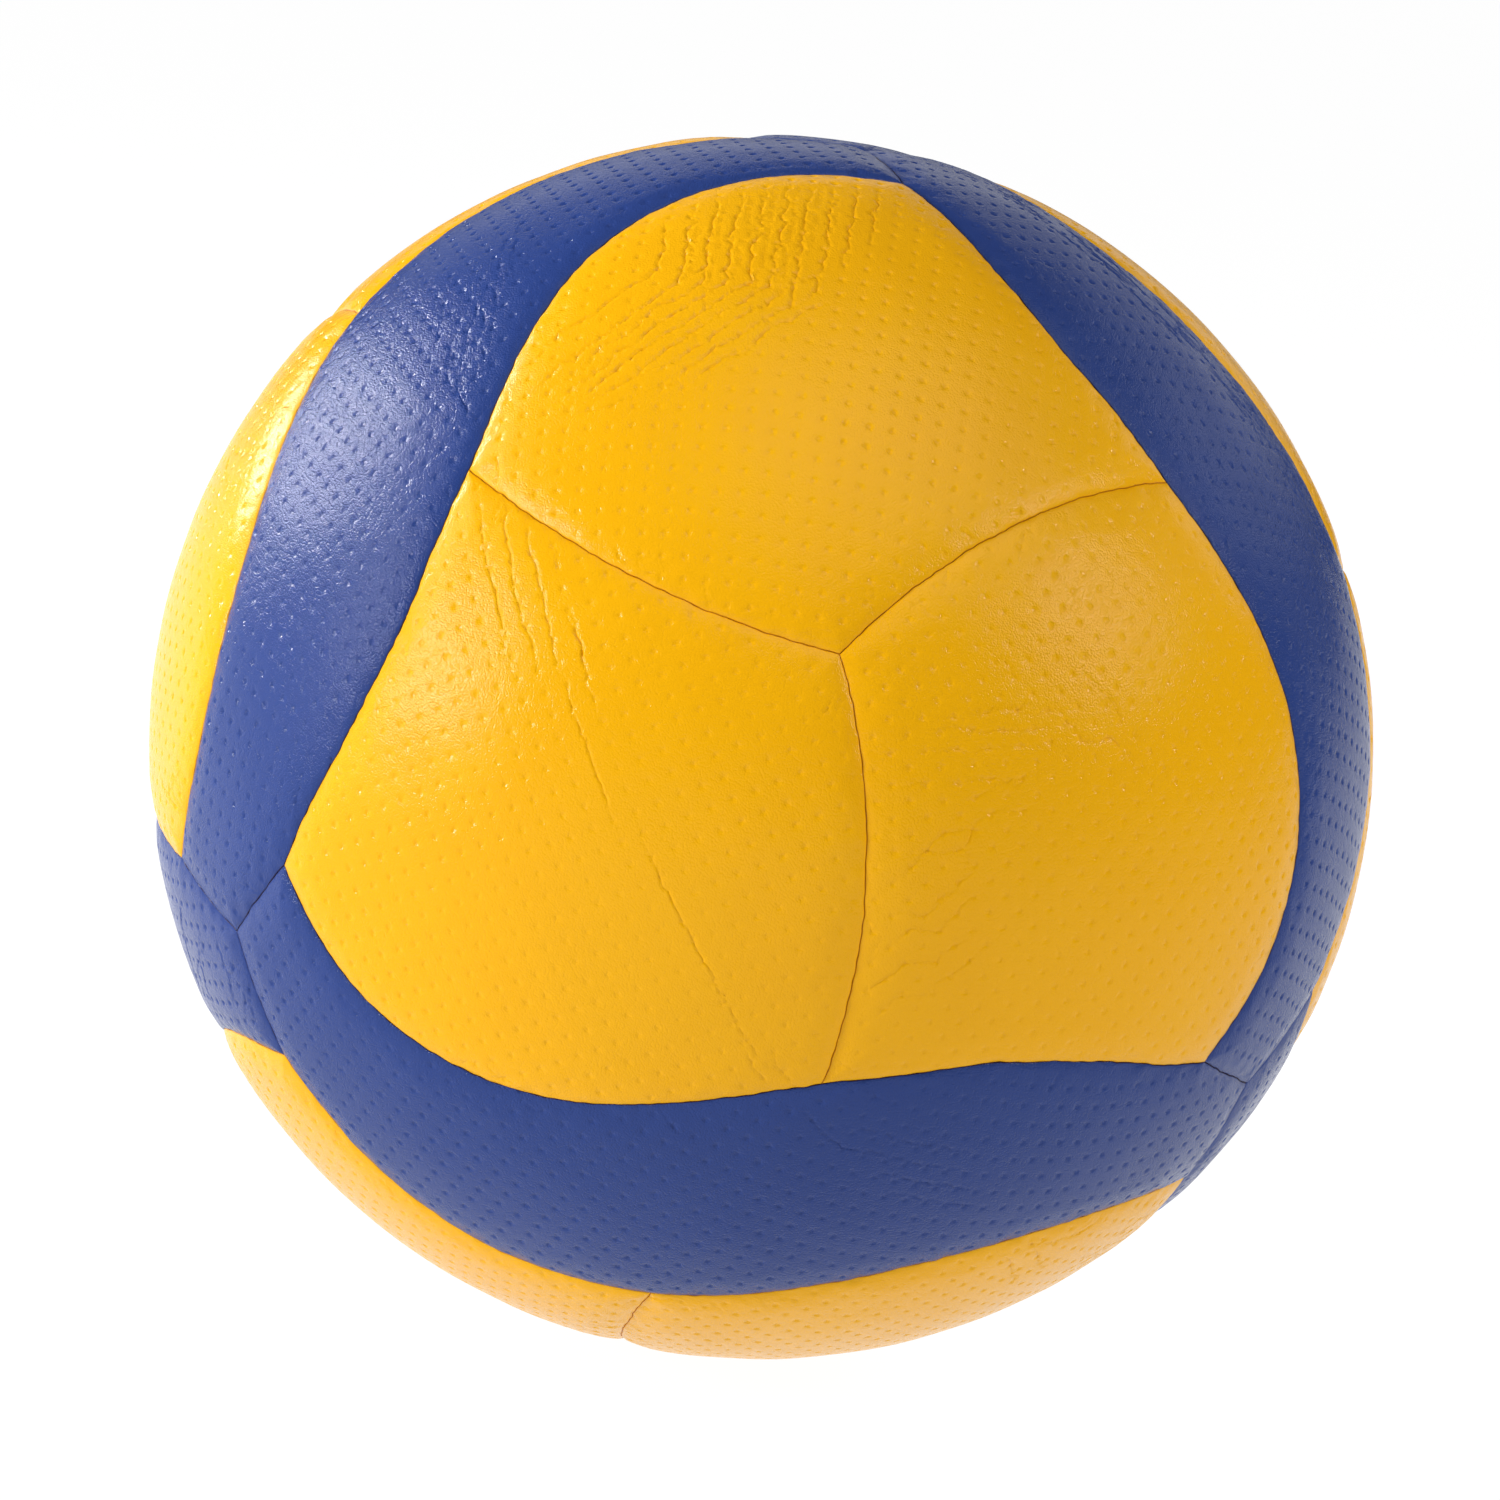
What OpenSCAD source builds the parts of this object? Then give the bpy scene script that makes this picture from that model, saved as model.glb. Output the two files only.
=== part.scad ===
// Indoor volleyball: 18 cover panels on foam pads, over a rubber carcass, a thread winding and
// an air bladder with its valve. The origin is the ball's centre and +Z is up. Two kinds of point
// lie on the ball, four of each: three yellow panels meet at a field's middle, and three blue
// bands meet at a band point. A field is the three yellow panels round one middle.

/* [Ball] */
// Diameter over the crowns of the panels
ball_d = 210; // [200:1:216]

/* [Cover panels] */
// Thickness of a panel
cover_t = 1.4; // [1.2:0.1:2]
// How far a panel's edge dips below its crown
edge_drop = 0.8; // [0.4:0.1:1]
// Width of the rounded edge
edge_round = 2.4; // [1.6:0.1:3]
// Gap between two neighbouring panels
seam_gap = 0.3; // [0.2:0.05:0.5]
// Glue line under a panel, which also clears the flats of its underside
glue_gap = 0.4; // [0.4:0.05:0.6]

/* [Foam pads] */
// Thickness of a pad
pad_t = 2.4; // [1.5:0.1:3.5]
// How far a pad's edge lies inside the middle of the seam
pad_inset = 0.4; // [0.2:0.05:0.6]

/* [Inner layers] */
// Wall of the rubber carcass
carcass_t = 1.2; // [0.8:0.1:1.6]
// Thickness of the thread winding
winding_t = 0.8; // [0.5:0.1:1.2]
// Wall of the bladder
bladder_t = 1; // [0.7:0.1:1.4]
// Gap between two layers
layer_gap = 0.2; // [0.15:0.05:0.3]

/* [Valve] */
// Radius of the needle hole
needle_r = 1; // [0.8:0.05:1.2]
// Depth of the needle hole
needle_depth = 8; // [5:0.5:12]
// Radius of the valve core's shank
shank_r = 2.2; // [2:0.05:2.4]
// Radius of the valve core's head
head_r = 2.8; // [2.6:0.05:3.2]
// Length of the valve core
core_l = 20; // [16:0.5:24]
// How far the core's face lies below the crown
core_recess = 0.6; // [0.3:0.05:1]
// Running clearance round the core in its seat
core_clearance = 0.05; // [0.03:0.01:0.1]
// Clearance round the core's head in the panel and the pad
hole_clearance = 0.2; // [0.15:0.05:0.4]
// Wall of the valve seat round the head
seat_wall = 1.8; // [1.4:0.1:2.4]
// Depth of the seat's mouth, in which the head rests
mouth_depth = 2.4; // [2:0.1:3]
// How far the seat reaches past the core's inner end
seat_overhang = 2; // [1:0.5:4]
// Radius of the seat's flange under the bladder
flange_r = 14; // [10:0.5:18]
// Thickness of the seat's flange
flange_t = 1.2; // [0.8:0.1:1.8]
// Gap round the seat's neck in the layers that it passes
neck_gap = 0.15; // [0.1:0.05:0.3]

/* [Hidden] */
$fn = 96;
// Angles of the ball's symmetry: a third of a turn, half a turn, and a quarter
third = 360 / 3;
half = 360 / 2;
quarter = 360 / 4;
// From a field's middle to a neighbouring band point, and to the middle of a band beside it
point_reach = acos(1 / 3);
band_reach = acos(-1 / 3) / 2;
// One side of a field, from corner to corner, each place as its turn about the field's middle
// and its reach from it, in degrees
side_angles = [
    [-3.5, 58.5], [10, 57.2], [22, 54.3], [34, 50], [46, 44.9], [57, 41], [68, 38.8],
    [80, 38.7], [91, 40.1], [100, 43.6], [107, 48.2], [112, 53.3], [116.5, 58.5]
];
spans = len(side_angles) - 1;
// The seam between two yellow panels leaves the middle at this turn, and meets the side here
seam_angle = 84;
joint_at = 6;
// The place that the facets of a yellow panel gather to, as its turn and reach
heart_angles = [135, 30];
// Steps along a field's side, a seam between yellow panels and a seam between blue bands
side_steps = 18;
yellow_steps = 7;
blue_steps = 2;
// Where the rings of points lie across a rounded edge, and from there to the hearts
edge_shares = [0, 0.35, 1];
yellow_shares = [0.16, 0.33, 0.5, 0.67, 0.84];
blue_shares = [0.25, 0.5, 0.75];
// How far the cutters of the pads reach out and in, as shares of the ball's radius
cutter_out_share = 1.3;
cutter_in_share = 0.8;
overrun = 1;

ball_r = ball_d / 2;
pad_r = ball_r - cover_t - glue_gap;
carcass_r = pad_r - pad_t - layer_gap;
winding_r = carcass_r - carcass_t - layer_gap;
bladder_r = winding_r - winding_t - layer_gap;
flange_top = bladder_r - bladder_t - layer_gap;
core_top = ball_r - core_recess;
core_end = core_top - core_l;
mouth_r = head_r + core_clearance;
bore_r = shank_r + core_clearance;
seat_r = mouth_r + seat_wall;
neck_r = seat_r + neck_gap;
hole_r = head_r + hole_clearance;
seat_top = carcass_r - layer_gap;
seat_end = core_end - seat_overhang;
shoulder = seat_top - mouth_depth;

// Each field's name, its turn about Z, its tilt from +Z, and the turn about its own middle
fields = [
    ["front", 0, point_reach, quarter],
    ["right", third, point_reach, quarter],
    ["left", -third, point_reach, quarter],
    ["base", 0, half, -quarter]
];
// Each band's name, its turn about Z, and which side of the front field it is turned from
bands = [
    ["upper_left", 0, 0],
    ["upper_right", third, 0],
    ["upper_back", -third, 0],
    ["lower_front", 0, 1],
    ["lower_right", third, 1],
    ["lower_left", -third, 1]
];
valve_band = "upper_back";

yellow_names = [for (f = fields) for (k = [1 : 3]) str(f[0], "_", k)];
blue_names = [for (b = bands) b[0]];

// Directions on a ball of radius 1

function unit(v) = v / norm(v);

function between(a, b, share) = unit((1 - share) * a + share * b);

function at(turn, reach) = [sin(reach) * cos(turn), sin(reach) * sin(turn), cos(reach)];

function curve(p, q, r, s, u) =
    (2 * q + (r - p) * u + (2 * p - 5 * q + 4 * r - s) * u * u
        + (3 * q - p - 3 * r + s) * u * u * u) / 2;

// The place t spans along a field's side, with k thirds of a turn added
function along_side(t, k) =
    let (
        i = min(floor(t), spans - 1),
        q = side_angles[i],
        r = side_angles[i + 1],
        p = i > 0 ? side_angles[i - 1] : 2 * q - r,
        s = i + 2 <= spans ? side_angles[i + 2] : 2 * r - q,
        place = curve(p, q, r, s, t - i)
    )
    at(place[0] + k * third, place[1]);

// The place at a share of the way along a seam between yellow panels
function along_seam(share, k) =
    let (joint = side_angles[joint_at])
    at(seam_angle + (joint[0] - seam_angle) * share + k * third, joint[1] * share);

// A yellow panel's outline: out along one seam, round a corner of the field, back along the next
yellow_outline = let (t = spans / side_steps) concat(
    [for (i = [0 : yellow_steps - 1]) along_seam(i / yellow_steps, 0)],
    [for (i = [joint_at / t : side_steps - 1]) along_side(i * t, 0)],
    [for (i = [0 : joint_at / t - 1]) along_side(i * t, 1)],
    [for (i = [0 : yellow_steps - 1]) along_seam(1 - i / yellow_steps, 1)]
);
yellow_heart_of = [for (i = [0 : len(yellow_outline) - 1]) 0];
yellow_hearts = [at(heart_angles[0], heart_angles[1])];

// Half of a blue band's outline, from one band point to the other along one field, and the whole
band_start = at(third, point_reach);
band_end = at(0, point_reach);
band_middle = at(third / 2, band_reach);
band_half = concat(
    [for (i = [0 : blue_steps - 1]) between(band_start, along_side(spans, 0), i / blue_steps)],
    [for (i = [0 : side_steps - 1]) along_side(spans * (1 - i / side_steps), 0)],
    [for (i = [0 : blue_steps - 1]) between(along_side(0, 0), band_end, i / blue_steps)]
);
blue_outline = concat(
    band_half,
    [for (v = band_half) 2 * (v * band_middle) * band_middle - v]
);
// The hearts of a band lie on its spine, midway between two facing points of its outline
blue_n = len(blue_outline);
blue_heart_of = [
    for (i = [0 : blue_n - 1]) min(max(min(i, blue_n - i), 1), blue_n / 2 - 1) - 1
];
blue_hearts = [
    for (i = [1 : blue_n / 2 - 1]) between(blue_outline[i], blue_outline[blue_n - i], 1 / 2)
];

// An outline moved inwards on the ball by the length d, mitred at its corners
function inset(outline, d) =
    let (n = len(outline))
    [
        for (i = [0 : n - 1])
            let (
                v = outline[i],
                before = unit(cross(outline[(i + n - 1) % n], v)),
                after = unit(cross(v, outline[(i + 1) % n]))
            )
            unit(v + d / ball_r * (before + after) / (1 + before * after))
    ];

// The rings of points from a crown ring towards the hearts, at radius r
function inner_rings(ring, hearts, heart_of, shares, r) =
    [
        for (share = shares)
            [for (i = [0 : len(ring) - 1]) r * between(ring[i], hearts[heart_of[i]], share)]
    ];

function backwards(list) = [for (i = [1 : len(list)]) list[len(list) - i]];

function drop_at(share) = edge_drop * (1 - sqrt(1 - pow(1 - share, 2)));

// A closed solid through rings of points, from the hearts on top to the hearts below
module ringed(rings, hearts, heart_of, top_r, low_r) {
    n = len(heart_of);
    h = len(hearts);
    last = len(rings) + 1;
    function place(ring, i) =
        ring == 0 ? heart_of[i % n]
        : ring == last ? h + (last - 1) * n + heart_of[i % n]
        : h + (ring - 1) * n + i % n;
    faces = [
        for (ring = [0 : last - 1])
            for (i = [0 : n - 1])
                let (
                    a = place(ring, i),
                    b = place(ring, i + 1),
                    c = place(ring + 1, i + 1),
                    d = place(ring + 1, i)
                )
                for (f = [[a, b, c], [a, c, d]])
                    if (f[0] != f[1] && f[1] != f[2] && f[0] != f[2]) f
    ];
    points = concat(
        [for (v = hearts) top_r * v],
        [for (ring = rings) for (v = ring) v],
        [for (v = hearts) low_r * v]
    );
    polyhedron(points = points, faces = faces, convexity = 4);
}

// A cover panel with rounded edges
module cover(outline, hearts, heart_of, shares) {
    low_r = ball_r - cover_t;
    rim = inset(outline, seam_gap / 2);
    crown = inset(outline, seam_gap / 2 + edge_round);
    edge = [
        for (share = edge_shares)
            (ball_r - drop_at(share)) * inset(outline, seam_gap / 2 + share * edge_round)
    ];
    ringed(
        concat(
            backwards(inner_rings(crown, hearts, heart_of, shares, ball_r)),
            backwards(edge),
            [low_r * rim],
            inner_rings(rim, hearts, heart_of, shares, low_r)
        ),
        hearts, heart_of, ball_r, low_r
    );
}

// A ball whose poles and seam lie away from a place on it
module ball_behind(r, turn, reach) {
    rotate([0, quarter - reach, turn + half]) sphere(r = r);
}

// A foam pad round a place, cut from its layer by a wedge through the outline
module pad(outline, hearts, heart_of, turn, reach) {
    rim = inset(outline, pad_inset);
    out_r = ball_r * cutter_out_share;
    in_r = ball_r * cutter_in_share;
    difference() {
        intersection() {
            ball_behind(pad_r, turn, reach);
            ringed([out_r * rim, in_r * rim], hearts, heart_of, out_r, in_r);
        }
        ball_behind(pad_r - pad_t, turn, reach);
    }
}

// A hollow layer with the hole that the valve seat's neck passes
module layer(r, wall) {
    difference() {
        sphere(r = r);
        sphere(r = r - wall);
        on_valve_axis() translate([0, 0, seat_end]) cylinder(r = neck_r, h = ball_r - seat_end);
    }
}

// Places of the pieces

module in_field(i, k) {
    f = fields[i];
    rotate([0, 0, f[1]]) rotate([f[2], 0, 0]) rotate([0, 0, f[3] + k * third]) children();
}

module in_band(i) {
    b = bands[i];
    rotate([0, 0, b[1]]) in_field(0, b[2]) children();
}

module on_valve_axis() {
    rotate([0, 0, half]) rotate([band_reach, 0, 0]) children();
}

module valve_hole() {
    on_valve_axis() translate([0, 0, seat_top]) cylinder(r = hole_r, h = ball_r - seat_top + overrun);
}

// Pieces

module yellow_panel(i) {
    color("gold") in_field(floor(i / 3), i % 3)
        cover(yellow_outline, yellow_hearts, yellow_heart_of, yellow_shares);
}

module blue_panel(i) {
    color("royalblue") difference() {
        in_band(i) cover(blue_outline, blue_hearts, blue_heart_of, blue_shares);
        if (blue_names[i] == valve_band) valve_hole();
    }
}

module yellow_pad(i) {
    color("ivory") in_field(floor(i / 3), i % 3)
        pad(yellow_outline, yellow_hearts, yellow_heart_of, heart_angles[0], heart_angles[1]);
}

module blue_pad(i) {
    color("ivory") difference() {
        in_band(i) pad(blue_outline, blue_hearts, blue_heart_of, third / 2, band_reach);
        if (blue_names[i] == valve_band) valve_hole();
    }
}

module carcass() {
    color("dimgray") layer(carcass_r, carcass_t);
}

module thread_winding() {
    color("white") layer(winding_r, winding_t);
}

module bladder() {
    color("black") layer(bladder_r, bladder_t);
}

module valve_seat() {
    color("dimgray") on_valve_axis() difference() {
        union() {
            translate([0, 0, seat_end]) cylinder(r = seat_r, h = seat_top - seat_end);
            intersection() {
                difference() {
                    sphere(r = flange_top);
                    sphere(r = flange_top - flange_t);
                }
                cylinder(r = flange_r, h = ball_r);
            }
        }
        translate([0, 0, shoulder]) cylinder(r = mouth_r, h = seat_top - shoulder + overrun);
        translate([0, 0, seat_end - overrun]) cylinder(r = bore_r, h = seat_top - seat_end);
    }
}

module valve_core() {
    color("slategray") on_valve_axis() difference() {
        union() {
            translate([0, 0, core_end]) cylinder(r = shank_r, h = core_l);
            translate([0, 0, shoulder]) cylinder(r = head_r, h = core_top - shoulder);
        }
        translate([0, 0, core_top - needle_depth]) cylinder(r = needle_r, h = needle_depth + overrun);
    }
}

for (i = [0 : len(yellow_names) - 1]) {
    yellow_panel(i);
    yellow_pad(i);
}
for (i = [0 : len(blue_names) - 1]) {
    blue_panel(i);
    blue_pad(i);
}
carcass();
thread_winding();
bladder();
valve_seat();
valve_core();
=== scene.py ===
# %% [markdown]
# This scene dresses an indoor volleyball. The frame brings the ball's 41 real pieces at their real
# size: 18 cover panels, 18 foam pads, and the carcass, winding, bladder and valve inside them. The
# panels are what the eye meets, so they are built again here as fine meshes with dimples, creases
# and rounded edges, and each one stands for its plain piece in the frame.

# %% Load the frame
import math

import bpy
import numpy as np
from mathutils import Matrix, Vector
from mathutils.geometry import delaunay_2d_cdt
from mathutils.kdtree import KDTree


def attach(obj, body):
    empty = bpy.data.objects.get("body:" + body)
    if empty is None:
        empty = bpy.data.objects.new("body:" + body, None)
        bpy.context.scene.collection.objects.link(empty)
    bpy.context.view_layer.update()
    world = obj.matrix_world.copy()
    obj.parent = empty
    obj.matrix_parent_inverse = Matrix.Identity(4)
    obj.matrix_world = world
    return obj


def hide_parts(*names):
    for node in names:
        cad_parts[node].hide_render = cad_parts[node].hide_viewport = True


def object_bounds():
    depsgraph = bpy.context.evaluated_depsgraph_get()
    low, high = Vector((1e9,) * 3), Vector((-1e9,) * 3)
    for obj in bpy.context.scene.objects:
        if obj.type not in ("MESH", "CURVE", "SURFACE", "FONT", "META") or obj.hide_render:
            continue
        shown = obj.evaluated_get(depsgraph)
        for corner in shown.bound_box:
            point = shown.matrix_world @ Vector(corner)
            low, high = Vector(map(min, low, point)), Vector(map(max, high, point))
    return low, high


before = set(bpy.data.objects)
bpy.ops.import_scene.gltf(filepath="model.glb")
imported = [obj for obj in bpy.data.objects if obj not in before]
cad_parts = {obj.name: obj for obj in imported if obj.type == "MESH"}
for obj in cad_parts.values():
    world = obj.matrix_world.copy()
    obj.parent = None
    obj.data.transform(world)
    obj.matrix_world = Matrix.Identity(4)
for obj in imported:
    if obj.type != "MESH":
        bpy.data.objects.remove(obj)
cad_low, cad_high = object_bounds()
MM = 0.001

# %% [markdown]
# A camera can be set by eye, or worked out from the picture. A ball's outline is a circle, and the
# eight places where panels meet are known directions on it, so the view's turn, height and roll
# follow from where those places lie in the picture. The long lens keeps the ball's outline calm.

# %% Camera
PHOTO_SIDE = 1500
BALL_CENTRE_PX = (761.04, 746.9)
VIEW_AZIMUTH = math.radians(-5.55)
VIEW_ELEVATION = math.radians(10.54)
VIEW_ROLL = math.radians(9.81)
VIEW_DISTANCE = 1.0903
LENS_MM = 151.97
SENSOR_MM = 36
FOCAL_PX = LENS_MM / SENSOR_MM * PHOTO_SIDE


def view_axes(azimuth, elevation, roll):
    """The camera's right, up and backward directions."""
    sa, ca, se, ce = math.sin(azimuth), math.cos(azimuth), math.sin(elevation), math.cos(elevation)
    right, up = np.array([ca, sa, 0]), np.array([-sa * se, ca * se, ce])
    sr, cr = math.sin(roll), math.cos(roll)
    return right * cr + up * sr, up * cr - right * sr, np.array([sa * ce, -ca * ce, se])


view_right, view_up, view_back = view_axes(VIEW_AZIMUTH, VIEW_ELEVATION, VIEW_ROLL)
aim_x = (BALL_CENTRE_PX[0] - PHOTO_SIDE / 2) / FOCAL_PX
aim_y = (PHOTO_SIDE / 2 - BALL_CENTRE_PX[1]) / FOCAL_PX
view_place = VIEW_DISTANCE * (view_back - aim_x * view_right - aim_y * view_up)

link = bpy.context.scene.collection.objects.link
camera = bpy.data.objects.new("camera", bpy.data.cameras.new("camera"))
link(camera)
camera.data.lens = LENS_MM
camera.data.sensor_width = SENSOR_MM
turned = np.eye(4)
turned[:3] = np.stack([view_right, view_up, view_back, view_place], -1)
camera.matrix_world = Matrix(turned.tolist())
bpy.context.scene.camera = camera
print("camera at", view_place.round(3))

# %% [markdown]
# The picture was taken in a white studio: a wide soft light above and in front, three lights on the
# left, from behind the ball round to its front, and weaker ones on the right and behind. A floor
# that glows, as white acrylic lit from below does, lights the ball from under and leaves no shadow.
# Area lights are used because the size of one sets how wide and soft its highlight is.

# %% Floor and lights
FLOOR_SIDE = 12
FLOOR_GLOW = 0.98
FLOOR_WHITE = 0.06
FLOOR_ROUGHNESS = 0.9
WORLD_LIGHT = 0.05

half_floor, floor_z = FLOOR_SIDE / 2, cad_low.z
floor_mesh = bpy.data.meshes.new("floor")
floor_mesh.from_pydata(
    [(x * half_floor, y * half_floor, floor_z) for x, y in ((-1, -1), (1, -1), (1, 1), (-1, 1))],
    [], [(0, 1, 2, 3)])
floor_material = bpy.data.materials.new("white_floor")
floor_material.use_nodes = True
for socket, value in {
    "Base Color": (FLOOR_WHITE, FLOOR_WHITE, FLOOR_WHITE, 1),
    "Roughness": FLOOR_ROUGHNESS,
    "Emission Color": (1, 1, 1, 1),
    "Emission Strength": FLOOR_GLOW,
}.items():
    floor_material.node_tree.nodes["Principled BSDF"].inputs[socket].default_value = value
floor_mesh.materials.append(floor_material)
floor = bpy.data.objects.new("floor", floor_mesh)
link(floor)


def soft_light(name, towards, distance, size, power, colour=(1, 1, 1)):
    """An area light in a direction given as right, up and back of the camera's view."""
    direction = towards[0] * view_right + towards[1] * view_up + towards[2] * view_back
    direction /= np.linalg.norm(direction)
    data = bpy.data.lights.new(name, "AREA")
    data.shape = "RECTANGLE"
    data.size, data.size_y = size
    data.energy = power
    data.color = colour
    lamp = bpy.data.objects.new(name, data)
    link(lamp)
    lamp.location = direction * distance
    lamp.rotation_mode = "QUATERNION"
    lamp.rotation_quaternion = Vector(direction).to_track_quat("Z", "Y")


soft_light("left_back_light", (-0.73, 0.52, -0.44), 1.3, (0.25, 0.25), 9.5)
soft_light("left_light", (-0.78, 0.60, 0.02), 1.3, (0.7, 0.7), 5)
soft_light("left_front_light", (-0.87, 0.24, 0.43), 1.3, (0.25, 0.25), 11.6)
soft_light("right_light", (0.85, 0.34, 0.40), 1.5, (0.26, 0.26), 6, (1, 0.97, 0.96))
soft_light("right_back_light", (0.78, 0.47, -0.42), 1.5, (0.6, 0.6), 1.6)
soft_light("back_light", (0.12, 0.47, -0.87), 1.5, (1.4, 0.5), 1.6)
soft_light("front_light", (0.34, 0.80, 0.50), 1.8, (1.6, 1.4), 13.5)

world = bpy.data.worlds.new("studio")
bpy.context.scene.world = world
world.use_nodes = True
background = world.node_tree.nodes["Background"]
background.inputs["Color"].default_value = (1, 1, 1, 1)
background.inputs["Strength"].default_value = WORLD_LIGHT
bpy.context.scene.view_settings.view_transform = "Standard"
print("floor at", round(floor_z, 4))

# %% [markdown]
# The ball's layout. Four fields of three yellow panels sit like the faces of a four-sided die, and
# six blue bands run between them. Every panel is a copy of one of two outlines, so the layout is
# kept as one yellow outline, one blue outline and the turns that carry them to their places. The
# outlines could be drawn as one curve each, but a few places along one side of a field, joined by
# a smooth curve, are easier to compare with the picture.

# %% Layout of the ball
BALL_R = 105.0
COVER_T = 1.4
POINT_REACH = math.degrees(math.acos(1 / 3))
BAND_REACH = math.degrees(math.acos(-1 / 3) / 2)
SIDE = np.array([
    (-3.5, 58.5), (10, 57.2), (22, 54.3), (34, 50), (46, 44.9), (57, 41), (68, 38.8),
    (80, 38.7), (91, 40.1), (100, 43.6), (107, 48.2), (112, 53.3), (116.5, 58.5),
])
SIDE_END = len(SIDE) - 1
SEAM_TURN = 84
JOINT_AT = 6
SEAM_POINTS, SIDE_POINTS = 14, 12
BAND_END_POINTS, BAND_SIDE_POINTS = 4, 32
YELLOW_HEART = (135, 30)
THIRD = 120


def at(turn, reach):
    """Directions on a ball of radius 1, by turn about +Z and reach from it, in degrees."""
    turn, reach = np.radians(turn), np.radians(reach)
    return np.stack([np.sin(reach) * np.cos(turn), np.sin(reach) * np.sin(turn), np.cos(reach)], -1)


def unit(v):
    """Vectors made one long."""
    return v / np.linalg.norm(v, axis=-1, keepdims=True)


def along_side(t, k):
    """Directions t spans along a field's side, turned by k thirds."""
    padded = np.concatenate([2 * SIDE[:1] - SIDE[1:2], SIDE, 2 * SIDE[-1:] - SIDE[-2:-1]])
    i = np.minimum(t.astype(int), SIDE_END - 1)
    u = (t - i)[:, None]
    p, q, r, s = (padded[i + j] for j in range(4))
    place = (2 * q + (r - p) * u + (2 * p - 5 * q + 4 * r - s) * u**2
             + (3 * q - p - 3 * r + s) * u**3) / 2
    return at(place[:, 0] + k * THIRD, place[:, 1])


def along_seam(share, k):
    """Directions at a share of the way along a seam between yellow panels."""
    turn, reach = SIDE[JOINT_AT]
    return at(SEAM_TURN + (turn - SEAM_TURN) * share + k * THIRD, reach * share)


def steps(first, last, count):
    """Even steps from first up to, but without, last."""
    return np.linspace(first, last, count, endpoint=False)


def yellow_loop(fineness):
    """A yellow panel's outline, against the clock as seen from outside."""
    seam, side = SEAM_POINTS * fineness, SIDE_POINTS * fineness
    return np.concatenate([
        along_seam(steps(0, 1, seam), 0),
        along_side(steps(JOINT_AT, SIDE_END, side), 0),
        along_side(steps(0, JOINT_AT, side), 1),
        along_seam(steps(1, 0, seam), 1),
    ])


def blue_loop(fineness):
    """A blue band's outline: one half, and the same half turned about the band's middle."""
    start, end, middle = at(THIRD, POINT_REACH), at(0, POINT_REACH), at(THIRD / 2, BAND_REACH)
    first, last = along_side(np.array([SIDE_END, 0.0]), 0)
    seam = steps(0, 1, BAND_END_POINTS * fineness)[:, None]
    half = np.concatenate([
        unit(start + seam * (first - start)),
        along_side(steps(SIDE_END, 0, BAND_SIDE_POINTS * fineness), 0),
        unit(last + seam * (end - last)),
    ])
    other = 2 * (half @ middle)[:, None] * middle - half
    return np.concatenate([half, other])


print("outline points", len(yellow_loop(1)), len(blue_loop(1)))

# %% [markdown]
# Where each panel goes. A field is a tilt from +Z and a turn; a panel in it is a further third of a
# turn. Keeping the places as rotations, and not as finished corners, means that each panel's mesh
# can be modelled once, lying flat, and then be carried to its place.


# %% Places of the panels
def turn_about(axis, degrees):
    """A rotation about x or z, as a 3 by 3 array."""
    c, s = math.cos(math.radians(degrees)), math.sin(math.radians(degrees))
    if axis == "x":
        return np.array([[1, 0, 0], [0, c, -s], [0, s, c]])
    return np.array([[c, -s, 0], [s, c, 0], [0, 0, 1]])


FIELDS = {"front": (0, POINT_REACH, 90), "right": (120, POINT_REACH, 90),
          "left": (-120, POINT_REACH, 90), "base": (0, 180, -90)}
BANDS = {"upper_left": (0, 0), "upper_right": (120, 0), "upper_back": (-120, 0),
         "lower_front": (0, 1), "lower_right": (120, 1), "lower_left": (-120, 1)}
VALVE_BAND = "upper_back"


def in_field(field, k):
    """The rotation to a field of yellow panels, and k thirds of a turn about its middle."""
    spin, tilt, twist = FIELDS[field]
    return turn_about("z", spin) @ turn_about("x", tilt) @ turn_about("z", twist + k * THIRD)


places = {}
for field in FIELDS:
    for k in range(3):
        places[f"{field}_{k + 1}"] = ("yellow", in_field(field, k))
for band, (spin, k) in BANDS.items():
    places[band] = ("blue", turn_about("z", spin) @ in_field("front", k))
print("panels", len(places))

# %% [markdown]
# A panel is cut from a flat sheet, so its dimples and creases are laid out flat too. The flat map
# used here keeps true distances from the panel's heart in every direction, and over a panel it is
# within a few percent everywhere else, as real leather stretched on a ball is.


# %% Flat map of a panel
def flat_frame(heart, towards):
    """A panel's heart, and the directions of x and y on its flat map."""
    x = unit(towards - (towards @ heart) * heart)
    return np.array([heart, x, np.cross(heart, x)])


FLAT = {
    "yellow": flat_frame(at(*YELLOW_HEART), at(YELLOW_HEART[0], YELLOW_HEART[1] + 1)),
    "blue": flat_frame(at(THIRD / 2, BAND_REACH), at(0, POINT_REACH)),
}


def flatten(kind, directions):
    """Flat places in mm of directions on the ball."""
    a, b, c = (directions @ FLAT[kind].T).T
    reach = np.arccos(np.clip(a, -1, 1)) * BALL_R
    across = np.maximum(np.hypot(b, c), 1e-12)
    return np.stack([reach * b / across, reach * c / across], -1)


def lift(kind, flat):
    """Directions on the ball of flat places in mm."""
    reach = np.maximum(np.hypot(*flat.T), 1e-9)
    angle = reach / BALL_R
    heart, x, y = FLAT[kind]
    sideways = (flat[:, :1] * x + flat[:, 1:] * y) / reach[:, None]
    return np.cos(angle)[:, None] * heart + np.sin(angle)[:, None] * sideways


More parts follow.
